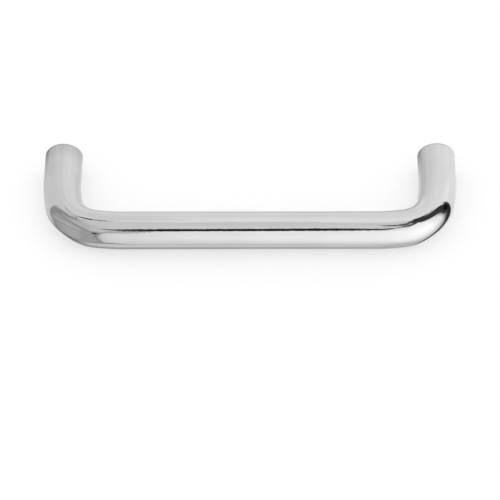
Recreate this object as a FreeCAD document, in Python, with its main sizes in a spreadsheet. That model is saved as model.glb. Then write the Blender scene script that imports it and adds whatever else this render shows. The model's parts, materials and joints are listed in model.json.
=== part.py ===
import FreeCAD, Part
import math
import os
import Sketcher
from FreeCAD import Vector

# A D-shaped cabinet pull: one round steel rod, bent twice, with a tapped hole in each cut end.
# Millimetres. The mounting plane is y = 0 and the drawer front lies on its +Y side.
# The origin is midway between the two holes. +X runs along the bar and +Z is up.

os.makedirs("parts", exist_ok=True)

SIZES = {
    "rod_diameter": (10, "thickness of the round rod"),
    "hole_spacing": (100, "from one tapped hole to the other"),
    "projection": (32, "from the mounting plane to the front of the bar"),
    "bend_radius": (10.2, "centre line of the tight part of a bend"),
    "easing_radius": (50, "centre line of the slow curve at each side of a tight bend"),
    "leg_easing_angle": (11, "turn of the slow curve that leaves a leg, in degrees"),
    "bar_easing_angle": (9, "turn of the slow curve that runs into the bar, in degrees"),
    "bend_thinning": (0.25, "radius that the stretched outer side loses in mid bend"),
    "end_chamfer": (0.3, "broken edge around the cut end of a leg"),
    "tap_drill": (3.3, "hole for the M4 thread"),
    "hole_depth": (12, "from the mounting plane to the end of the full diameter"),
    "drill_point_angle": (118, "full angle of the drill's tip, in degrees"),
    "countersink_diameter": (4.3, "mouth of the hole"),
    "countersink_angle": (90, "full angle of the mouth's chamfer, in degrees"),
}
BEND_SECTIONS = 6  # steps from one end of a tight bend to the other

doc = FreeCAD.newDocument("BarPull")
sheet = doc.addObject("Spreadsheet::Sheet", "Sizes")
for row, (alias, (value, note)) in enumerate(SIZES.items(), start=1):
    sheet.set(f"A{row}", alias)
    sheet.set(f"B{row}", str(value))
    sheet.set(f"C{row}", note)
    sheet.setAlias(f"B{row}", alias)
doc.recompute()

body = doc.addObject("PartDesign::Body", "PullHandle")
body.Label = "pull_handle"
body.Placement = FreeCAD.Placement()
origin_planes = {feature.Role: feature for feature in body.Origin.OriginFeatures}

UP = Vector(0, 0, 1)
LINE_START, LINE_END, CIRCLE_CENTRE = range(1, 4)  # which point of a sketch element
X_AXIS, Y_AXIS = range(-1, -3, -1)  # the sketch's own references
ORIGIN = (X_AXIS, LINE_START)
ON_THE_SPOT = 1e-6  # how far a rim's circle may be from its place


def size(alias):
    return float(sheet.get(alias))


def new_sketch(name, support, map_mode="FlatFace", along_edge=0.0):
    sketch = body.newObject("Sketcher::SketchObject", name)
    sketch.AttachmentSupport = [support]
    sketch.MapMode = map_mode
    sketch.MapPathParameter = along_edge
    return sketch


def bind(sketch, kind, elements, start_value, name, expression):
    # a dimension that follows the sheet
    index = sketch.addConstraint(Sketcher.Constraint(kind, *elements, start_value))
    sketch.renameConstraint(index, name)
    sketch.setExpression(f"Constraints.{name}", expression)


def centre_line_points():
    # where the straights and arcs of the left half meet, and the centres of its three arcs
    easing, bend = size("easing_radius"), size("bend_radius")
    bar_level = size("rod_diameter") / 2 - size("projection")
    turn_in = math.radians(size("leg_easing_angle"))
    turn_out = math.radians(90 - size("bar_easing_angle"))
    towards_in = Vector(math.cos(turn_in), math.sin(turn_in), 0)
    towards_out = Vector(math.cos(turn_out), math.sin(turn_out), 0)
    bend_centre = Vector(0, 0, 0)
    bend_start = bend_centre - towards_in * bend
    bend_end = bend_centre - towards_out * bend
    leg_centre = bend_start + towards_in * easing
    bar_centre = bend_end + towards_out * easing
    points = {
        "leg_centre": leg_centre,
        "leg_end": leg_centre - Vector(easing, 0, 0),
        "bend_centre": bend_centre,
        "bar_centre": bar_centre,
        "bar_start": bar_centre - Vector(0, easing, 0),
    }
    shift = Vector(-size("hole_spacing") / 2 - points["leg_end"].x, bar_level - points["bar_start"].y, 0)
    return {name: point + shift for name, point in points.items()}, turn_in, turn_out


def draw_centre_line():
    # left half: leg, slow curve, tight bend, slow curve, half the bar
    points, turn_in, turn_out = centre_line_points()
    easing, bend = size("easing_radius"), size("bend_radius")
    half_spacing = size("hole_spacing") / 2
    sketch = new_sketch("CentreLine", (origin_planes["XY_Plane"], ""))
    leg, leg_curve, tight_bend, bar_curve, bar = range(5)
    sketch.addGeometry(Part.LineSegment(Vector(-half_spacing, 0, 0), points["leg_end"]))
    for centre, radius, start, end in (
        (points["leg_centre"], easing, 0, turn_in),
        (points["bend_centre"], bend, turn_in, turn_out),
        (points["bar_centre"], easing, turn_out, math.pi / 2),
    ):
        circle = Part.Circle(centre, UP, radius)
        sketch.addGeometry(Part.ArcOfCircle(circle, math.pi + start, math.pi + end))
    bar_middle = Vector(0, points["bar_start"].y, 0)
    sketch.addGeometry(Part.LineSegment(points["bar_start"], bar_middle))
    for element in (leg, leg_curve, tight_bend, bar_curve):
        joint = ("Tangent", element, LINE_END, element + 1, LINE_START)
        sketch.addConstraint(Sketcher.Constraint(*joint))
    sketch.addConstraint(Sketcher.Constraint("Vertical", leg))
    sketch.addConstraint(Sketcher.Constraint("PointOnObject", leg, LINE_START, X_AXIS))
    sketch.addConstraint(Sketcher.Constraint("Horizontal", bar))
    sketch.addConstraint(Sketcher.Constraint("PointOnObject", bar, LINE_END, Y_AXIS))
    bind(sketch, "DistanceX", (leg, LINE_START, *ORIGIN), half_spacing, "half_spacing", "Sizes.hole_spacing / 2")
    bind(sketch, "DistanceY", (bar, LINE_END, *ORIGIN), -bar_middle.y, "bar_level",
         "Sizes.projection - Sizes.rod_diameter / 2")
    bind(sketch, "Radius", (leg_curve,), easing, "leg_easing", "Sizes.easing_radius")
    bind(sketch, "Radius", (tight_bend,), bend, "bend", "Sizes.bend_radius")
    bind(sketch, "Radius", (bar_curve,), easing, "bar_easing", "Sizes.easing_radius")
    bind(sketch, "Angle", (leg_curve,), turn_in, "leg_turn", "Sizes.leg_easing_angle * 1 deg")
    bind(sketch, "Angle", (bar_curve,), math.pi / 2 - turn_out, "bar_turn", "Sizes.bar_easing_angle * 1 deg")
    return sketch


def draw_leg_section():
    # the cut end of the left leg, on the mounting plane
    half_spacing = size("hole_spacing") / 2
    sketch = new_sketch("LegSection", (origin_planes["XZ_Plane"], ""))
    sketch.addGeometry(Part.Circle(Vector(-half_spacing, 0, 0), UP, size("rod_diameter") / 2))
    sketch.addConstraint(Sketcher.Constraint("PointOnObject", 0, CIRCLE_CENTRE, X_AXIS))
    bind(sketch, "DistanceX", (0, CIRCLE_CENTRE, *ORIGIN), half_spacing, "half_spacing", "Sizes.hole_spacing / 2")
    bind(sketch, "Radius", (0,), size("rod_diameter") / 2, "rod_radius", "Sizes.rod_diameter / 2")
    return sketch


def draw_bend_section(step, centre_line):
    # square to the tight bend, which is the third edge of the centre line; x points away from its centre
    share = step / BEND_SECTIONS
    thinning = math.sin(math.pi * share) ** 2  # none at the ends, all of it in the middle
    sketch = new_sketch(f"BendSection{step}", (centre_line, "Edge3"), "FrenetNB", share)
    radius = size("rod_diameter") / 2 - size("bend_thinning") * thinning
    at_end = step in (0, BEND_SECTIONS)
    shift = 0 if at_end else size("bend_thinning") * thinning
    sketch.addGeometry(Part.Circle(Vector(-shift, 0, 0), UP, radius))
    if at_end:
        sketch.addConstraint(Sketcher.Constraint("Coincident", 0, CIRCLE_CENTRE, *ORIGIN))
        bind(sketch, "Radius", (0,), radius, "rod_radius", "Sizes.rod_diameter / 2")
        return sketch
    lost = f"Sizes.bend_thinning * sin({180 * share} deg)^2"
    sketch.addConstraint(Sketcher.Constraint("PointOnObject", 0, CIRCLE_CENTRE, X_AXIS))
    bind(sketch, "DistanceX", (0, CIRCLE_CENTRE, *ORIGIN), shift, "inward_shift", lost)
    bind(sketch, "Radius", (0,), radius, "rod_radius", f"Sizes.rod_diameter / 2 - {lost}")
    return sketch


def sweep(name, section, spine_edges, more_sections=()):
    pipe = body.newObject("PartDesign::AdditivePipe", name)
    pipe.Profile = section
    pipe.Spine = (centre_line, spine_edges)
    pipe.SpineTangent = False
    if more_sections:
        pipe.Transformation = "Multisection"
        pipe.Sections = list(more_sections)
    doc.recompute()
    return pipe


def end_rim_edges(feature):
    # the circle around the cut end, on the mounting plane
    rod_radius = size("rod_diameter") / 2
    names = []
    for number, edge in enumerate(feature.Shape.Edges, start=1):
        if not isinstance(edge.Curve, Part.Circle):
            continue
        if max(abs(edge.Curve.Radius - rod_radius), abs(edge.Curve.Center.y)) < ON_THE_SPOT:
            names.append(f"Edge{number}")
    return names


# The rod, left half first: leg, tight bend, then the run into the middle of the bar
centre_line = draw_centre_line()
doc.recompute()
bend_sections = [draw_bend_section(step, centre_line) for step in range(BEND_SECTIONS + 1)]
doc.recompute()
leg = sweep("Leg", draw_leg_section(), ["Edge1", "Edge2"])
bend = sweep("Bend", bend_sections[0], ["Edge3"], bend_sections[1:])
half_bar = sweep("HalfBar", bend_sections[-1], ["Edge4", "Edge5"])

# The right half is the left half's mirror image
mirror = body.newObject("PartDesign::Mirrored", "OtherHalf")
mirror.Originals = [leg, bend, half_bar]
mirror.MirrorPlane = (origin_planes["YZ_Plane"], [""])
body.Tip = mirror
doc.recompute()

# The broken edge around each cut end
chamfer = body.newObject("PartDesign::Chamfer", "EndChamfers")
chamfer.Base = (mirror, end_rim_edges(mirror))
chamfer.setExpression("Size", "Sizes.end_chamfer")
doc.recompute()
solid_volume = chamfer.Shape.Volume

# The tapped holes, drawn with the thread's core diameter and a countersunk mouth
hole_centres = new_sketch("HoleCentres", (origin_planes["XZ_Plane"], ""))
for index, side in enumerate((-1, 1)):
    half_spacing = size("hole_spacing") / 2
    hole_centres.addGeometry(Part.Circle(Vector(side * half_spacing, 0, 0), UP, size("tap_drill") / 2))
    hole_centres.addConstraint(Sketcher.Constraint("PointOnObject", index, CIRCLE_CENTRE, X_AXIS))
    bind(hole_centres, "Radius", (index,), size("tap_drill") / 2, f"hole_radius{index}", "Sizes.tap_drill / 2")
    ends = [(index, CIRCLE_CENTRE), ORIGIN][::-side]
    bind(hole_centres, "DistanceX", (*ends[0], *ends[1]), half_spacing, f"half_spacing{index}",
         "Sizes.hole_spacing / 2")
doc.recompute()
holes = body.newObject("PartDesign::Hole", "TappedHoles")
doc.recompute()
holes.Profile = hole_centres
holes.ThreadType = "None"
holes.DepthType = "Dimension"
holes.DrillPoint = "Angled"
holes.HoleCutType = "Countersink"
holes.setExpression("Diameter", "Sizes.tap_drill")
holes.setExpression("Depth", "Sizes.hole_depth")
holes.setExpression("DrillPointAngle", "Sizes.drill_point_angle")
holes.setExpression("HoleCutDiameter", "Sizes.countersink_diameter")
holes.setExpression("HoleCutCountersinkAngle", "Sizes.countersink_angle")
doc.recompute()
if holes.Shape.Volume >= solid_volume:
    holes.Reversed = not holes.Reversed
    doc.recompute()
body.Tip = holes
doc.recompute()

# Nothing is written unless every object is sound and the holes have cut the rod
for item in doc.Objects:
    if "Invalid" in item.State or "Error" in item.State:
        raise RuntimeError(f"{item.Name} failed: {item.State}")
    if item.isDerivedFrom("Sketcher::SketchObject") and not item.FullyConstrained:
        raise RuntimeError(f"{item.Name} is not fully constrained")
both_bores = 2 * math.pi * (size("tap_drill") / 2) ** 2 * size("hole_depth")
if not both_bores < solid_volume - holes.Shape.Volume < 2 * both_bores:
    raise RuntimeError("the holes did not cut both ends")
shape = body.Shape
if shape.isNull() or not shape.isValid() or len(shape.Solids) != 1:
    raise RuntimeError("the rod is not one valid solid")
shape.exportStep(f"parts/{body.Label}.step")
box = shape.optimalBoundingBox()
print(f"{body.Label}: {shape.Volume:.1f} mm3, {box.XLength:.2f} x {box.YLength:.2f} x {box.ZLength:.2f} mm")
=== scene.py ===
import json
import math
import bpy
import numpy as np
from mathutils import Matrix, Vector


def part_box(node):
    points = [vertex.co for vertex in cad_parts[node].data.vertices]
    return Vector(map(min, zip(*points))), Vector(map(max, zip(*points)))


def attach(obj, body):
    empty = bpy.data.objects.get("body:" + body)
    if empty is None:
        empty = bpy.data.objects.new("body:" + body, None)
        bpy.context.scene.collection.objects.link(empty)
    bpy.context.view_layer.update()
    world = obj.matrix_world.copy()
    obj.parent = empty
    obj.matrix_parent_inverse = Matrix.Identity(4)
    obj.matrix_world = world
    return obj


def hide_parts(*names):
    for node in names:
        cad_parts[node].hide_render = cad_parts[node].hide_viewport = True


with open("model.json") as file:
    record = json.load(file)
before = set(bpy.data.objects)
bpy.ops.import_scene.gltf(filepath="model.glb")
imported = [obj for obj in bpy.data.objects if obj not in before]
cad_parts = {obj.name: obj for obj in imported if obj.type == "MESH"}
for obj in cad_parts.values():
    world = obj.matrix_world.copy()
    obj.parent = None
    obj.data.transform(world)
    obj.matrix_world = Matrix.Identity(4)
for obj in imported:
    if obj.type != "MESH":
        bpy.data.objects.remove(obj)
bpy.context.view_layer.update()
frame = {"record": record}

# A bent-rod cabinet pull: chrome-plated steel, lying on its side on a pale floor.
# Metres, in the part's own frame: y = 0 is the mounting plane, +X runs along the bar, +Z is up.

mm = 0.001
up = Vector((0, 0, 1))

nodeLow, nodeHigh = (Vector(corner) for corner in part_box("pull_handle"))
mounts = {mount["name"]: mount for mount in frame["record"]["mounts"]}
holeSpacing = mounts["screw_holes"]["dims"]["spacing_x_mm"] * mm
coreRadius = mounts["left_thread"]["dims"]["r_mm"] * mm
rodRadius = (nodeHigh.z - nodeLow.z) / 2
projection = -nodeLow.y
floorLevel = nodeLow.z
partMiddle = (nodeLow + nodeHigh) / 2


def smoothStep(low, high, value):  # 0 below low, 1 above high, with no corner at either
    share = min(max((value - low) / (high - low), 0), 1)
    return share * share * (3 - 2 * share)


def linearColour(hexCode):  # sRGB hex to the linear values that the shaders take
    channels = [int(hexCode[i:i + 2], 16) / 255 for i in (1, 3, 5)]
    linear = [channel / 12.92 if channel <= 0.04045 else ((channel + 0.055) / 1.055) ** 2.4
              for channel in channels]
    return (*linear, 1)


def meshObject(name, points, faces, materials, smooth=True):
    mesh = bpy.data.meshes.new(name)
    mesh.from_pydata([tuple(point) for point in points], [], faces)
    for material in materials:
        mesh.materials.append(material)
    mesh.polygons.foreach_set("use_smooth", [smooth] * len(mesh.polygons))
    mesh.update()
    made = bpy.data.objects.new(name, mesh)
    bpy.context.scene.collection.objects.link(made)
    return made


# Materials

def newMaterial(name):
    material = bpy.data.materials.new(name)
    material.use_nodes = True
    material.node_tree.nodes.clear()
    return material


def addNode(tree, kind, settings=None, values=None, links=None):
    # one node: its own settings, the values of its sockets, and what feeds them
    node = tree.nodes.new(kind)
    for key, value in (settings or {}).items():
        setattr(node, key, value)
    for key, value in (values or {}).items():
        node.inputs[key].default_value = value
    for key, source in (links or {}).items():
        if isinstance(source, bpy.types.Node):      # a whole node stands for its first output
            source = next(socket for socket in source.outputs if socket.enabled)
        tree.links.new(source, node.inputs[key])
    return node


# settings that several nodes share
smoothRange = {"interpolation_type": "SMOOTHSTEP"}
colourMix = {"data_type": "RGBA"}


def unevenness(tree, sizes, detail=2):
    # blotches of these sizes, along the rod and around it; they follow the rod round its bends
    along, across = sizes
    place = addNode(tree, "ShaderNodeAttribute", {"attribute_name": "unbent"})
    scaled = addNode(tree, "ShaderNodeVectorMath", {"operation": "MULTIPLY"},
                     {1: (1 / along, 1 / across, 1 / across)}, {0: place.outputs["Vector"]})
    return addNode(tree, "ShaderNodeTexNoise", {}, {"Scale": 1, "Detail": detail}, {"Vector": scaled})


chrome = {
    "colour": "#DADADA",            # what bright chromium over nickel gives back
    "roughness": 0.03,
    "cloudColour": "#D7D7D7",       # slightly uneven plating
    "cloudRoughness": 0.05,
    "cloudSize": (10 * mm, 5 * mm),
    "cloudRange": (0.35, 0.65),     # of the blotches, from clear to cloudy
    "waveSize": (1.2 * mm, 0.8 * mm),   # what the polishing wheel leaves
    "waveHeight": 0.01 * mm,
    "hairSize": (14 * mm, 0.16 * mm),   # polishing hairlines; real ones are ten times finer
    "hairHeight": 0.0008 * mm,
    "shadedEdgeWidth": 0.9 * mm,          # painted shade round the cut edges: darker colour there, and rougher plating
    "edgeShadeColour": "#B4B4B4",
    "edgeRoughness": 0.25,
    "hazeEnds": (0.5 * mm, 5.5 * mm),   # and a hazy last few millimetres on the left leg
    "hazeRange": (0.3, 0.6),        # of the same blotches, from thin to thick
    "hazeLeast": 0.55,              # where it is thin
    "hazeColour": "#C8C8C8",
    "hazeRoughness": 0.14,
}


def brightChromePlate():
    # bright chrome plate on polished steel bar: a hard neutral mirror; the polish leaves it very
    # slightly wavy, with hairlines along the rod, and at the cut ends the plating is rougher
    # and darkened with painted shade
    material = newMaterial("brightChromePlate")
    tree = material.node_tree
    clouds = unevenness(tree, chrome["cloudSize"])
    waves = unevenness(tree, chrome["waveSize"], detail=1)
    hairs = unevenness(tree, chrome["hairSize"])

    clear, cloudiest = chrome["cloudRange"]
    cloudy = addNode(tree, "ShaderNodeMapRange", smoothRange, {"From Min": clear, "From Max": cloudiest},
                     {"Value": clouds})
    place = addNode(tree, "ShaderNodeTexCoord")
    fromWall = addNode(tree, "ShaderNodeSeparateXYZ", links={"Vector": place.outputs["Object"]})
    # painted shade: the colour darkens within this band at the cut ends, and the roughness rises there
    edge = addNode(tree, "ShaderNodeMapRange", smoothRange, {"From Min": -chrome["shadedEdgeWidth"], "From Max": 0},
                   {"Value": fromWall.outputs["Y"]})

    unbent = addNode(tree, "ShaderNodeAttribute", {"attribute_name": "unbent"})
    fromLeftEnd = addNode(tree, "ShaderNodeSeparateXYZ", links={"Vector": unbent.outputs["Vector"]})
    haziest, hazeGone = chrome["hazeEnds"]
    nearLeftEnd = addNode(tree, "ShaderNodeMapRange", smoothRange, {
        "From Min": haziest, "From Max": hazeGone, "To Min": 1, "To Max": 0},
        {"Value": fromLeftEnd.outputs["X"]})
    thin, thick = chrome["hazeRange"]
    patchy = addNode(tree, "ShaderNodeMapRange", smoothRange, {
        "From Min": thin, "From Max": thick, "To Min": chrome["hazeLeast"]}, {"Value": clouds})
    haze = addNode(tree, "ShaderNodeMath", {"operation": "MULTIPLY"}, links={0: nearLeftEnd, 1: patchy})

    colour = addNode(tree, "ShaderNodeMix", colourMix, {
        "A": linearColour(chrome["colour"]), "B": linearColour(chrome["cloudColour"])}, {"Factor": cloudy})
    colour = addNode(tree, "ShaderNodeMix", colourMix, {"B": linearColour(chrome["hazeColour"])},
                     {"Factor": haze, "A": colour})
    # the darker colour at the cut ends is painted shade
    colour = addNode(tree, "ShaderNodeMix", colourMix, {"B": linearColour(chrome["edgeShadeColour"])},
                     {"Factor": edge, "A": colour})
    roughness = addNode(tree, "ShaderNodeMapRange", {}, {
        "To Min": chrome["roughness"], "To Max": chrome["cloudRoughness"]}, {"Value": cloudy})
    roughness = addNode(tree, "ShaderNodeMix", {}, {"B": chrome["hazeRoughness"]},
                        {"Factor": haze, "A": roughness})
    roughness = addNode(tree, "ShaderNodeMix", {}, {"B": chrome["edgeRoughness"]},
                        {"Factor": edge, "A": roughness})

    wavy = addNode(tree, "ShaderNodeBump", {}, {"Distance": chrome["waveHeight"]}, {"Height": waves})
    brushed = addNode(tree, "ShaderNodeBump", {}, {"Distance": chrome["hairHeight"]},
                      {"Height": hairs, "Normal": wavy})
    shader = addNode(tree, "ShaderNodeBsdfPrincipled", {}, {"Metallic": 1}, {
        "Base Color": colour, "Roughness": roughness, "Normal": brushed})
    addNode(tree, "ShaderNodeOutputMaterial", links={"Surface": shader})
    return material


turned = {
    "colour": "#D6D6D4",            # the cut face went through the plating bath too
    "dullColour": "#C2C1BE",
    "markSize": (1 * mm, 0.6 * mm),
    "dullRange": (0.4, 0.7),        # of the marks, from bright to dull
    "roughRange": (0.3, 0.7),       # and from smoothest to roughest
    "roughness": (0.16, 0.3),
    "grooveSpacing": 0.16 * mm,     # feed of the facing tool
    "grooveHeight": 0.002 * mm,
    "grooveWaver": 0.4,
}


def platedTurnedFace():
    # faced on a lathe, then plated unpolished: fine rings that spread a reflection across them
    material = newMaterial("platedTurnedFace")
    tree = material.node_tree
    place = addNode(tree, "ShaderNodeAttribute", {"attribute_name": "unbent"})
    waveLength = math.pi / 10       # of the wave pattern, in its own units
    scaled = addNode(tree, "ShaderNodeVectorMath", {"operation": "SCALE"},
                     {"Scale": waveLength / turned["grooveSpacing"]}, {0: place.outputs["Vector"]})
    rings = addNode(tree, "ShaderNodeTexWave", {"wave_type": "RINGS", "rings_direction": "X"},
                    {"Scale": 1, "Distortion": turned["grooveWaver"], "Detail": 1}, {"Vector": scaled})
    marks = unevenness(tree, turned["markSize"], detail=3)
    bright, dullest = turned["dullRange"]
    dull = addNode(tree, "ShaderNodeMapRange", smoothRange, {"From Min": bright, "From Max": dullest},
                   {"Value": marks})
    colour = addNode(tree, "ShaderNodeMix", colourMix, {
        "A": linearColour(turned["colour"]), "B": linearColour(turned["dullColour"])}, {"Factor": dull})
    low, high = turned["roughRange"]
    smoothest, roughest = turned["roughness"]
    roughness = addNode(tree, "ShaderNodeMapRange", smoothRange, {
        "From Min": low, "From Max": high, "To Min": smoothest, "To Max": roughest}, {"Value": marks})
    grooved = addNode(tree, "ShaderNodeBump", {}, {"Distance": turned["grooveHeight"]},
                      {"Height": rings.outputs["Fac"]})
    shader = addNode(tree, "ShaderNodeBsdfPrincipled", {}, {"Metallic": 1}, {
        "Base Color": colour, "Roughness": roughness, "Normal": grooved})
    addNode(tree, "ShaderNodeOutputMaterial", links={"Surface": shader})
    return material


tapped = {
    "colour": "#8F8C87",            # bare mild steel, tapped after plating
    "oilColour": "#5E574E",         # traces of cutting oil
    "oilSize": (1.5 * mm, 1.5 * mm),
    "oilRange": (0.45, 0.65),       # of the blotches, from dry to oily
    "tearSize": (0.25 * mm, 0.75 * mm),     # torn along the thread
    "tearHeight": 0.01 * mm,
    "roughRange": (0.3, 0.7),       # of the tears, from smoothest to roughest
    "roughness": (0.28, 0.45),
}


def tappedSteel():
    # freshly tapped steel with a film of cutting oil: greyer and rougher than the plating
    material = newMaterial("tappedSteel")
    tree = material.node_tree
    tears = unevenness(tree, tapped["tearSize"], detail=3)
    film = unevenness(tree, tapped["oilSize"])
    dry, oiliest = tapped["oilRange"]
    oily = addNode(tree, "ShaderNodeMapRange", smoothRange, {"From Min": dry, "From Max": oiliest},
                   {"Value": film})
    colour = addNode(tree, "ShaderNodeMix", colourMix, {
        "A": linearColour(tapped["colour"]), "B": linearColour(tapped["oilColour"])}, {"Factor": oily})
    low, high = tapped["roughRange"]
    smoothest, roughest = tapped["roughness"]
    roughness = addNode(tree, "ShaderNodeMapRange", smoothRange, {
        "From Min": low, "From Max": high, "To Min": smoothest, "To Max": roughest}, {"Value": tears})
    torn = addNode(tree, "ShaderNodeBump", {}, {"Distance": tapped["tearHeight"]}, {"Height": tears})
    shader = addNode(tree, "ShaderNodeBsdfPrincipled", {}, {"Metallic": 1}, {
        "Base Color": colour, "Roughness": roughness, "Normal": torn})
    addNode(tree, "ShaderNodeOutputMaterial", links={"Surface": shader})
    return material


# Rod

# One closed skin, from the drill's tip in the left leg, out over its cut face and along the rod,
# to the drill's tip in the right leg.

rod = {
    "bendRadius": 10.2 * mm,        # centre line of the tight bend
    "easingRadius": 50 * mm,        # slow curves at both sides of it
    "legEasing": math.radians(11),
    "barEasing": math.radians(9),
    "bendThinning": 0.25 * mm,      # radius lost on the stretched side, in mid bend
    "endRounding": 0.3 * mm,        # polished edge of the cut end
    "creaseAngle": math.radians(28),    # sharper edges than this show as edges
    "around": 128,                  # points around the rod
    "bendSteps": 56,
    "easingSteps": 14,
    "legSteps": 5,
    "barSteps": 14,
    "roundingSteps": 6,
}

bore = {
    "mouthRadius": 2.15 * mm,       # countersunk at 90 degrees
    "threadRadius": 2.0 * mm,       # M4 thread, cut into the core hole's wall
    "pitch": 0.7 * mm,
    "rootShare": 0.125,             # of the pitch
    "flankShare": 0.4,
    "threadEnd": 10.6 * mm,         # how deep the tap went
    "runOut": 0.9 * mm,
    "depth": 12 * mm,
    "drillTip": math.radians(118),
    "around": 64,
    "stepsPerTurn": 20,
}

plating, cutFace, bareSteel = range(3)      # the rod's material slots


def leftHalfLine():
    # stations from the leg's end to the middle of the bar: turn so far, place, share of the tight bend
    tight = math.pi / 2 - rod["legEasing"] - rod["barEasing"]
    arcs = [(rod["legEasing"], rod["easingRadius"], rod["easingSteps"]),
            (tight, rod["bendRadius"], rod["bendSteps"]),
            (rod["barEasing"], rod["easingRadius"], rod["easingSteps"])]
    turn = 0
    place = Vector((0, 0, 0))
    curve = [(turn, place, 0)]
    for sweep, radius, steps in arcs:
        start = turn
        for i in range(1, steps + 1):
            before = turn
            turn = start + sweep * i / steps
            run = Vector((math.cos(before) - math.cos(turn), math.sin(before) - math.sin(turn), 0))
            place = place + radius * run
            share = min(max((turn - rod["legEasing"]) / tight, 0), 1)
            curve.append((turn, place, share))
    barLevel = rodRadius - projection
    shift = Vector((-holeSpacing / 2, barLevel - place.y, 0))
    curve = [(turn, place + shift, share) for turn, place, share in curve]
    legTop = -rod["endRounding"]
    legEnd = curve[0][1].y
    leg = [(0, Vector((-holeSpacing / 2, legTop + (legEnd - legTop) * i / rod["legSteps"], 0)), 0)
           for i in range(rod["legSteps"])]
    barStart = curve[-1][1].x
    bar = [(math.pi / 2, Vector((barStart * (1 - i / rod["barSteps"]), barLevel, 0)), 0)
           for i in range(1, rod["barSteps"] + 1)]
    return leg + curve + bar


def ring(centre, inward, radii, along):
    # one ring of points around the rod's axis, and where they were on the straight rod
    points, unbent = [], []
    for i, radius in enumerate(radii):
        angle = 2 * math.pi * i / len(radii)
        points.append(centre + radius * (math.cos(angle) * inward + math.sin(angle) * up))
        unbent.append((along, radius * math.cos(angle), radius * math.sin(angle)))
    return points, unbent


def rodRings():
    # along the whole rod, between the rounded edges of its ends
    left = []
    along = rod["endRounding"]
    before = None
    for turn, place, share in leftHalfLine():
        if before is not None:
            along += (place - before).length
        before = place
        thinning = rod["bendThinning"] * math.sin(math.pi * share) ** 2
        inward = Vector((math.cos(turn), math.sin(turn), 0))
        left.append((place + thinning * inward, inward, [rodRadius - thinning] * rod["around"], along))
    length = 2 * along
    mirror = Vector((-1, 1, 1))
    right = [(place * mirror, inward * mirror, radii, length - here)
             for place, inward, radii, here in left[-2::-1]]    # the middle ring is there already
    return [ring(*station) for station in left + right], length


def boreRadius(depth, angle, hand):
    # the countersink, then the thread, a little rounded, which fades out where the tap stopped
    height = bore["threadRadius"] - coreRadius
    flank = bore["flankShare"]
    offRoot = abs((depth / bore["pitch"] - hand * angle / (2 * math.pi)) % 1 - 0.5)
    cut = smoothStep(0, 1, (0.5 * bore["rootShare"] + flank - offRoot) / flank)
    cut *= 1 - smoothStep(bore["threadEnd"] - bore["runOut"], bore["threadEnd"], depth)
    return max(bore["mouthRadius"] - depth, coreRadius + height * cut)


def endRings(side, length):
    # from the drill's tip out to the rounded edge, and the material of the band after each ring
    centre = Vector((side * holeSpacing / 2, 0, 0))
    inward = Vector((-side, 0, 0))
    tipDepth = bore["depth"] + coreRadius / math.tan(bore["drillTip"] / 2)
    steps = round(bore["threadEnd"] / bore["pitch"] * bore["stepsPerTurn"])
    depths = [tipDepth, bore["depth"]] + [bore["threadEnd"] * i / steps for i in range(steps, -1, -1)]
    around = bore["around"]
    rings, bands = [], []
    for depth in depths:
        if depth == tipDepth:
            radii = [0]
        else:
            radii = [boreRadius(depth, 2 * math.pi * i / around, -side) for i in range(around)]
        rings.append((depth, radii))
        bands.append(bareSteel)
    bands[-1] = cutFace
    for i in range(rod["roundingSteps"]):
        angle = math.pi / 2 * i / rod["roundingSteps"]
        radius = rodRadius - rod["endRounding"] * (1 - math.sin(angle))
        rings.append((rod["endRounding"] * (1 - math.cos(angle)), [radius] * rod["around"]))
        bands.append(plating)
    placed = [ring(centre - Vector((0, depth, 0)), inward, radii, depth if side < 0 else length - depth)
              for depth, radii in rings]
    return placed, bands


def bridge(first, second):
    # faces between two rings of points, one of which may have a whole number of times as many
    if len(first) > len(second):
        return [face[::-1] for face in bridge(second, first)]
    step = len(second) // len(first)
    half = step // 2 if len(first) > 1 else step
    faces = []
    for i, corner in enumerate(first):
        nextCorner = first[(i + 1) % len(first)]
        run = [second[(i * step + j) % len(second)] for j in range(step + 1)]
        if step == 1:
            faces.append((corner, nextCorner, run[1], run[0]))
            continue
        faces += [(corner, run[j + 1], run[j]) for j in range(half)]
        if len(first) > 1:
            faces.append((corner, nextCorner, run[half]))
            faces += [(nextCorner, run[j + 1], run[j]) for j in range(half, step)]
    return faces


def buildRod():
    middle, length = rodRings()
    leftEnd, leftBands = endRings(-1, length)
    rightEnd, rightBands = endRings(1, length)
    rings = leftEnd + middle + rightEnd[::-1]
    bands = leftBands + [plating] * (len(middle) - 1) + rightBands[::-1]
    points, unbent, rows = [], [], []
    for ringPoints, ringUnbent in rings:
        rows.append(list(range(len(points), len(points) + len(ringPoints))))
        points += ringPoints
        unbent += ringUnbent
    faces, slots = [], []
    for first, second, slot in zip(rows, rows[1:], bands):
        band = bridge(first, second)
        faces += band
        slots += [slot] * len(band)
    made = meshObject("pull_rod", points, faces, [brightChromePlate(), platedTurnedFace(), tappedSteel()])
    mesh = made.data
    mesh.polygons.foreach_set("material_index", slots)
    mesh.attributes.new("unbent", "FLOAT_VECTOR", "POINT").data.foreach_set("vector", np.ravel(unbent))
    mesh.set_sharp_from_angle(angle=rod["creaseAngle"])
    return made


pullRod = buildRod()
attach(pullRod, "root")
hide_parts("pull_handle")
print("rod:", len(pullRod.data.polygons), "faces")


# Light tent

# A small tent of white cloth, with a grey sheet, a black board and the camera showing in it, all painted:
# its glow holds their light and shade, it is seen in the chrome only and it lights nothing. Chrome looks
# like what it mirrors. Azimuth 0 faces the viewer and 90 is the pull's right, from its middle.
# A sheet spans an azimuth and an elevation. Its softness is that of its left, right, low and high
# edges. Lean tilts its sides, rise tilts its low and high edges, and round takes off its corners,
# by so much on the left, on the right and upward.
# A line, such as a fold, a seam or an arm, runs along places: azimuth, elevation and width.
# All are in degrees, level is the brightness, and later parts lie on top.

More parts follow.
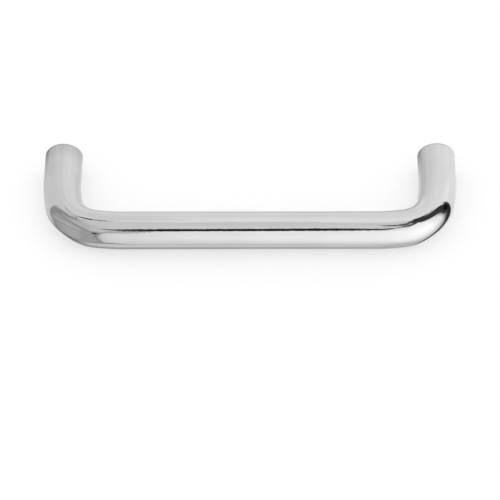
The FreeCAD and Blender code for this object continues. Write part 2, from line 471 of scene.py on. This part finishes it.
tent = {
    "radius": 0.25,
    "step": 1,                      # degrees
    "cloth": 0.79,
    "parts": [
        # the table and the cloth round about; the table darkens steeply under the pull: painted shade of its
        # contact shadow
        {"name": "tableLow", "azimuth": (-200, 200), "elevation": (-100, -70),
         "soft": (1, 1, 1, 5), "level": 0.54},
        {"name": "tableRight", "azimuth": (25, 150), "elevation": (-73, -47),
         "soft": (34, 20, 6, 22), "level": 0.62},
        {"name": "backLow", "azimuth": (132, 226), "elevation": (-60, 12),
         "soft": (8, 10, 1, 30), "level": 0.79},
        {"name": "backWall", "azimuth": (125, 222), "elevation": (2, 82),
         "soft": (14, 16, 20, 4), "level": 0.88},
        {"name": "backTop", "azimuth": (90, 228), "elevation": (52, 83),
         "soft": (20, 14, 30, 4), "level": 1.0},
        {"name": "backRight", "azimuth": (95, 140), "elevation": (-50, 76),
         "soft": (2, 16, 8, 20), "level": 1.0},
        {"name": "backGlow", "azimuth": (120, 166), "elevation": (28, 52),
         "soft": (4, 24, 10, 8), "level": 0.97},
        {"name": "sideGlow", "azimuth": (104, 123), "elevation": (10, 42),
         "soft": (4, 8, 10, 8), "level": 1.11},
        {"name": "sideLow", "azimuth": (108, 134), "elevation": (-60, -16),
         "soft": (4, 10, 8, 10), "level": 0.93},
        {"name": "backMiddle", "azimuth": (152, 196), "elevation": (8, 37),
         "soft": (14, 14, 10, 8), "level": 0.92},
        {"name": "backLeft", "azimuth": (-166, -138), "elevation": (22, 72),
         "soft": (12, 12, 10, 10), "level": 0.83},
        {"name": "leftCorner", "azimuth": (-158, -126), "elevation": (-30, 16),
         "soft": (20, 8, 20, 30), "level": 0.68},
        {"name": "tableLeft", "azimuth": (-150, -52), "elevation": (-100, -40),
         "soft": (20, 50, 1, 8), "level": 0.42},

        # the grey sheet and its folds, which the left bend mirrors
        {"name": "greyTop", "azimuth": (-96, -36), "elevation": (30, 58),
         "soft": (5, 26, 4, 22), "level": 0.62},
        # painted shadow: a dark rim where the pull's shadow lies on the table to the left
        {"name": "pullShadowRim", "azimuth": (-113, -72), "elevation": (-55, -45),
         "soft": (6, 30, 8, 6), "level": 0.2},
        {"name": "greySheet", "azimuth": (-99.5, -23), "elevation": (-45, 30),
         "soft": (5, 3, 6, 12), "level": 0.47},
        {"name": "paleFold", "azimuth": (-77, -52), "elevation": (-34, 21),
         "soft": (8, 14, 10, 6), "level": 0.54},
        {"name": "darkFold", "azimuth": (-97, -87), "elevation": (-16, 45),
         "soft": (4, 6, 14, 6), "level": 0.37, "lean": 0.1},
        {"name": "fold", "soft": 5, "level": 0.34,
         "along": [(-94, 20, 3), (-85, 24, 5), (-72, 27, 5), (-58, 29, 5), (-44, 26, 5), (-32, 22, 2)]},
        {"name": "topFold", "soft": 3, "level": 0.4,
         "along": [(-92, 50, 0), (-85, 48, 2), (-75, 46, 2), (-66, 46, 0)]},
        {"name": "rimFold", "soft": 4, "level": 0.35,
         "along": [(-88, -16, 2), (-89, -26, 5), (-95, -36, 6), (-102, -44, 6)]},
        {"name": "paleStreak", "soft": 4, "level": 0.62,
         "along": [(-92, -10, 2), (-84, -5, 3), (-79, 1, 4), (-75, 7, 5), (-71, 11, 5), (-66, 13, 5),
                   (-58, 15, 4), (-52, 16, 0)]},
        {"name": "lowFold", "soft": 4, "level": 0.4,
         "along": [(-92, -16, 1), (-84, -10, 3), (-74, 0, 3), (-65, 5, 3), (-52, 10, 3), (-34, 6, 3)]},
        {"name": "bottomFold", "soft": 5, "level": 0.4,
         "along": [(-60, -40, 2), (-44, -22, 4), (-36, -6, 4), (-30, 10, 3)]},
        {"name": "sheetFoot", "soft": 3, "level": 0.37,
         "along": [(-66, -38, 1), (-50, -37, 2), (-30, -37, 3), (-24, -33, 4), (-19, -37, 7),
                   (-13, -42, 7), (-6, -44, 4.5), (2, -46, 2), (9, -47, 0)]},

        # the black board, beside the right bend
        # the board's foot on the table, darker with its painted shadow
        {"name": "boardFoot", "azimuth": (84, 120), "elevation": (-65, -48),
         "soft": (20, 8, 10, 8), "level": 0.25},
        {"name": "blackBoard", "azimuth": (90, 106), "elevation": (-56, 61),
         "soft": (12, 4, 20, 4), "level": 0.03},
        {"name": "arch", "azimuth": (63, 103), "elevation": (0, 62),
         "soft": (14, 6, 4, 4), "level": 0.05},
        {"name": "boardNotch", "azimuth": (100.2, 125), "elevation": (28, 49),
         "soft": (3, 10, 14, 2), "level": 1.05},

        # the bright panel in front, with the lamp behind it: painted glow, which lights nothing
        {"name": "frontPanel", "azimuth": (-20.8, 84.5), "elevation": (-42, 44),
         "soft": (8, 9, 10, 3), "level": 0.88, "rise": 0.05, "lean": -0.1, "round": (10, 31, 24)},
        {"name": "panelGlow", "azimuth": (-9, 83), "elevation": (-26, 44),
         "soft": (30, 9, 36, 4), "level": 1.13, "rise": 0.05, "lean": -0.1, "round": (12, 28, 22)},
        {"name": "panelMiddle", "azimuth": (-4, 78), "elevation": (-8, 12),
         "soft": (18, 8, 14, 12), "level": 1.17},
        {"name": "lampHalo", "azimuth": (14, 75), "elevation": (-27, 34),
         "soft": (24, 10, 38, 24), "level": 1.30},
        {"name": "lamp", "azimuth": (38, 72), "elevation": (-6, 16),
         "soft": (40, 10, 20, 24), "level": 1.43},

        # on top of both: shade and a fold on the board, a notch and a dark edge at the panel's left
        {"name": "boardShade", "azimuth": (88, 98), "elevation": (-30, 1),
         "soft": (16, 4, 20, 16), "level": 0.04},
        {"name": "boardFold", "azimuth": (91.5, 101), "elevation": (3, 22),
         "soft": (3, 4, 6, 8), "level": 0.008},
        {"name": "notch", "azimuth": (-24, -10.4), "elevation": (27, 48),
         "soft": (4, 0.5, 16, 3), "level": 0.60},
        {"name": "panelEdge", "soft": 2, "level": 0.2,
         "along": [(-24, -34, 0.5), (-24, -21, 1), (-23.8, -9, 1), (-24.5, 2, 1.2), (-24.5, 12, 1),
                   (-23, 25, 1.5), (-19, 31, 1), (-14, 38, 0)]},

        # a pale stretch of cloth, and over it the camera, its arms and a seam: the dark line along the bar
        {"name": "topGlow", "azimuth": (-18, 32), "elevation": (59, 69),
         "soft": (10, 14, 3, 4), "level": 0.86},
        {"name": "armEnd", "azimuth": (-27.8, -24.6), "elevation": (14, 22),
         "soft": (2, 2, 3, 3), "level": 0.02},
        {"name": "cameraArm", "soft": 3, "level": 0.1,
         "along": [(-31, 44, 0), (-28, 44.5, 3), (-20, 46.8, 5.5), (-15, 46.8, 10), (-9, 46.6, 11.5),
                   (14, 49, 9), (18, 47.5, 10), (23, 48.5, 6), (28, 49, 1), (33, 50.5, 1.5),
                   (38, 52, 6.5), (46, 52, 8), (54, 50, 8), (61, 49, 6), (70, 48, 6)]},
        {"name": "upperArm", "soft": 3, "level": 0.12,
         "along": [(32, 70, 0), (37, 67, 4), (39, 64, 6), (45, 61.5, 9), (58, 62.5, 8), (80, 62, 9)]},
        {"name": "seamStart", "soft": 3, "level": 0.38,
         "along": [(-84, 44, 1), (-92, 47, 4), (-98, 49, 3), (-104, 50, 0)]},
        {"name": "seam", "soft": 3, "level": 0.12,
         "along": [(-106, 50, 0), (-111, 52.5, 2), (-115, 56, 6), (-118, 61, 8), (-121, 66, 8),
                   (-123, 71, 5), (-127, 72, 0)]},
        {"name": "lens", "azimuth": (-14.5, 13), "elevation": (40.5, 54.5),
         "soft": (6, 10, 3, 3), "level": 0.02, "rise": 0.13},
    ],
}


def softEdge(depth, softness):
    # the same step over many depths at once, from half the softness outside the edge to half inside
    share = np.clip(depth / softness + 0.5, 0, 1)
    return share * share * (3 - 2 * share)


def skyPoint(azimuth, elevation):
    heading, climb = np.radians(azimuth), np.radians(elevation)
    flat = np.cos(climb)
    return np.stack((np.sin(heading) * flat, -np.cos(heading) * flat, np.sin(climb)), axis=-1)


def sheetMask(sheet, azimuth, elevation):
    (left, right), (low, high) = sheet["azimuth"], sheet["elevation"]
    across = (azimuth - (left + right) / 2 + 180) % 360 - 180      # the short way round
    upward = elevation - (low + high) / 2
    across, upward = across - sheet.get("lean", 0) * upward, upward - sheet.get("rise", 0) * across
    wide, tall = (right - left) / 2, (high - low) / 2
    cut = 0
    if "round" in sheet:
        leftReach, rightReach, reachUp = sheet["round"]
        reach = np.where(across < 0, leftReach, rightReach)
        inAcross = np.clip(1 - (wide - np.abs(across)) / reach, 0, None)
        inUpward = np.clip(1 - (tall - np.abs(upward)) / reachUp, 0, None)
        cut = reach * (np.hypot(inAcross, inUpward) - np.maximum(inAcross, inUpward))
    depths = (wide + across - cut, wide - across - cut, tall + upward, tall - upward)
    mask = 1
    for depth, softness in zip(depths, sheet["soft"]):
        mask = mask * softEdge(depth, softness)
    return mask


def lineMask(line, directions):
    places = line["along"]
    depth = np.full(directions.shape[:-1], -np.inf)
    for (azimuth, elevation, width), (nextAzimuth, nextElevation, nextWidth) in zip(places, places[1:]):
        start = skyPoint(azimuth, elevation)
        run = skyPoint(nextAzimuth, nextElevation) - start
        share = np.clip((directions - start) @ run / (run @ run), 0, 1)
        gap = np.linalg.norm(directions - start - share[..., None] * run, axis=-1)
        depth = np.maximum(depth, (width + (nextWidth - width) * share) / 2 - np.degrees(gap))
    return softEdge(depth, line["soft"])


def tentLevels(azimuth, elevation):
    directions = skyPoint(azimuth, elevation)
    level = np.full(azimuth.shape, tent["cloth"])
    for part in tent["parts"]:
        mask = lineMask(part, directions) if "along" in part else sheetMask(part, azimuth, elevation)
        level += (part["level"] - level) * mask
    return level


def tentCloth():
    # white cloth lit from outside, painted as glow: it only glows, as bright as the parts above make it
    material = newMaterial("tentCloth")
    tree = material.node_tree
    level = addNode(tree, "ShaderNodeAttribute", {"attribute_name": "level"})
    glow = addNode(tree, "ShaderNodeEmission", links={"Strength": level.outputs["Fac"]})
    addNode(tree, "ShaderNodeOutputMaterial", links={"Surface": glow})
    material.cycles.emission_sampling = "NONE"
    return material


def mirroredOnly(made):
    # seen in the chrome, but not by the camera, and without light or shadow of its own
    made.visible_camera = False
    made.visible_diffuse = False
    made.visible_shadow = False


def buildTent():
    across = round(360 / tent["step"])
    rows = round(180 / tent["step"])
    azimuth, elevation = np.meshgrid(np.arange(across) * 360 / across, np.linspace(-90, 90, rows + 1))
    points = skyPoint(azimuth, elevation).reshape(-1, 3) * tent["radius"] + np.array(partMiddle)
    faces = []
    for i in range(rows):
        for j in range(across):
            low, nextLow = i * across + j, i * across + (j + 1) % across
            faces.append((low, nextLow, nextLow + across, low + across))
    made = meshObject("tent", points, faces, [tentCloth()])
    attribute = made.data.attributes.new("level", "FLOAT", "POINT")
    attribute.data.foreach_set("value", tentLevels(azimuth, elevation).ravel())
    mirroredOnly(made)
    return made


buildTent()
print("light tent:", len(tent["parts"]), "parts")


# Leg shadows

# The tent's lamp stands low at the front right, so each leg would throw a soft shadow to the back left.
# The chrome mirrors it beside the cut ends: two dark patches on the floor, painted shadows seen in the chrome
# only.

legShadow = {
    "behind": 5 * mm,               # where it starts, from the cut end
    "lift": 0.1 * mm,               # off the floor
    "towards": math.radians(142),   # on the floor, from the pull's right round to its back
    "before": 8 * mm,               # reach, the other way and along
    "after": 60 * mm,
    "darkFrom": 2 * mm,
    "fading": 1.5,                  # 1 fades evenly along it, more fades sooner
    "halfWidth": 12 * mm,
    "level": 0.08,
    "alongSteps": 34,
    "acrossSteps": 20,
}


def shadowPatch():
    # shaded paper, clear where the shadow ends
    material = newMaterial("shadowPatch")
    tree = material.node_tree
    darkness = addNode(tree, "ShaderNodeAttribute", {"attribute_name": "darkness"})
    clear = addNode(tree, "ShaderNodeBsdfTransparent")
    dark = addNode(tree, "ShaderNodeEmission", values={"Strength": legShadow["level"]})
    both = addNode(tree, "ShaderNodeMixShader", links={0: darkness.outputs["Fac"], 1: clear, 2: dark})
    addNode(tree, "ShaderNodeOutputMaterial", links={"Surface": both})
    material.cycles.emission_sampling = "NONE"
    return material


def buildLegShadow(name, legX, material):
    start = Vector((legX, legShadow["behind"], floorLevel + legShadow["lift"]))
    along = Vector((math.cos(legShadow["towards"]), math.sin(legShadow["towards"]), 0))
    across = up.cross(along)
    before, after = legShadow["before"], legShadow["after"]
    columns, rows = legShadow["acrossSteps"], legShadow["alongSteps"]
    points, darkness = [], []
    for i in range(rows + 1):
        gone = -before + (before + after) * i / rows
        fadeIn = smoothStep(-before, legShadow["darkFrom"], gone)
        fadeOut = min(max(1 - gone / after, 0), 1) ** legShadow["fading"]
        for j in range(columns + 1):
            aside = 2 * j / columns - 1
            points.append(start + gone * along + aside * legShadow["halfWidth"] * across)
            darkness.append(fadeIn * fadeOut * (1 - smoothStep(0, 1, abs(aside))))
    faces = []
    for i in range(rows):
        for j in range(columns):
            corner = i * (columns + 1) + j
            faces.append((corner, corner + 1, corner + columns + 2, corner + columns + 1))
    made = meshObject(name, points, faces, [material])
    made.data.attributes.new("darkness", "FLOAT", "POINT").data.foreach_set("value", darkness)
    mirroredOnly(made)
    return made


shadowMaterial = shadowPatch()
buildLegShadow("leg_shadow_left", -holeSpacing / 2, shadowMaterial)
buildLegShadow("leg_shadow_right", holeSpacing / 2, shadowMaterial)
print("leg shadows ready")


# Floor

floor = {
    "halfWidth": 3.0,
    "colour": "#C0C0C0",
    "lift": 0.5,                    # makes the open floor white without more light on the pull
}


def floorPaper():
    # matt white paper: flat, with the pull's soft shadow
    material = newMaterial("floorPaper")
    tree = material.node_tree
    paper = addNode(tree, "ShaderNodeBsdfDiffuse", values={"Color": linearColour(floor["colour"])})
    path = addNode(tree, "ShaderNodeLightPath")
    seen = addNode(tree, "ShaderNodeMath", {"operation": "MAXIMUM"}, links={
        0: path.outputs["Is Camera Ray"], 1: path.outputs["Is Glossy Ray"]})
    seen = addNode(tree, "ShaderNodeMath", {"operation": "MAXIMUM"}, links={
        0: seen, 1: path.outputs["Is Transmission Ray"]})
    strength = addNode(tree, "ShaderNodeMath", {"operation": "MULTIPLY"}, {1: floor["lift"]}, {0: seen})
    glow = addNode(tree, "ShaderNodeEmission", links={"Strength": strength})
    both = addNode(tree, "ShaderNodeAddShader", links={0: paper, 1: glow})
    addNode(tree, "ShaderNodeOutputMaterial", links={"Surface": both})
    material.cycles.emission_sampling = "NONE"
    return material


def buildFloor():
    points = [Vector((x * floor["halfWidth"], y * floor["halfWidth"], floorLevel))
              for x, y in [(-1, -1), (1, -1), (1, 1), (-1, 1)]]
    made = meshObject("floor", points, [(0, 1, 2, 3)], [floorPaper()], smooth=False)
    made.visible_glossy = False     # the tent's own table stands for it in the chrome
    return made


buildFloor()
print("floor ready")


# Light

light = {
    "colour": "#FFFFFF",            # plain white, from all around
    "strength": 1,                  # at which a colour renders about as it is written
}


def buildLight():
    world = bpy.data.worlds.new("white")
    bpy.context.scene.world = world
    world.use_nodes = True
    background = world.node_tree.nodes["Background"]
    background.inputs["Color"].default_value = linearColour(light["colour"])
    background.inputs["Strength"].default_value = light["strength"]


buildLight()
print("light ready")


# Camera

view = {
    "distance": 0.70,
    "azimuth": 0.915,               # degrees to the pull's right of square on
    "elevation": 48.28,
    "roll": -0.741,
    "lens": 189.63,
    "sensorWidth": 36,
    "nearest": 10 * mm,             # nothing closer than this shows
    "aimRight": 0.09 * mm,          # aimed off the pull's middle, which sits high in the picture
    "aimDown": 15.25 * mm,
}


def buildCamera():
    azimuth, elevation, roll = (math.radians(view[key]) for key in ("azimuth", "elevation", "roll"))
    flat = math.cos(elevation)
    back = Vector((math.sin(azimuth) * flat, -math.cos(azimuth) * flat, math.sin(elevation)))
    level = Vector((math.cos(azimuth), math.sin(azimuth), 0))
    upright = back.cross(level)
    right = math.cos(roll) * level + math.sin(roll) * upright
    top = math.cos(roll) * upright - math.sin(roll) * level
    middle = Vector((0, (rodRadius - projection) / 2, 0))
    eye = middle + view["aimRight"] * right - view["aimDown"] * top + view["distance"] * back
    camera = bpy.data.cameras.new("camera")
    camera.lens = view["lens"]
    camera.sensor_width = view["sensorWidth"]
    camera.sensor_fit = "HORIZONTAL"
    camera.clip_start = view["nearest"]
    made = bpy.data.objects.new("camera", camera)
    axes = Matrix((right, top, back)).transposed().to_4x4()
    made.matrix_world = Matrix.Translation(eye) @ axes
    bpy.context.scene.collection.objects.link(made)
    bpy.context.scene.camera = made


buildCamera()
bpy.context.scene.view_settings.view_transform = "Standard"
print("camera ready")
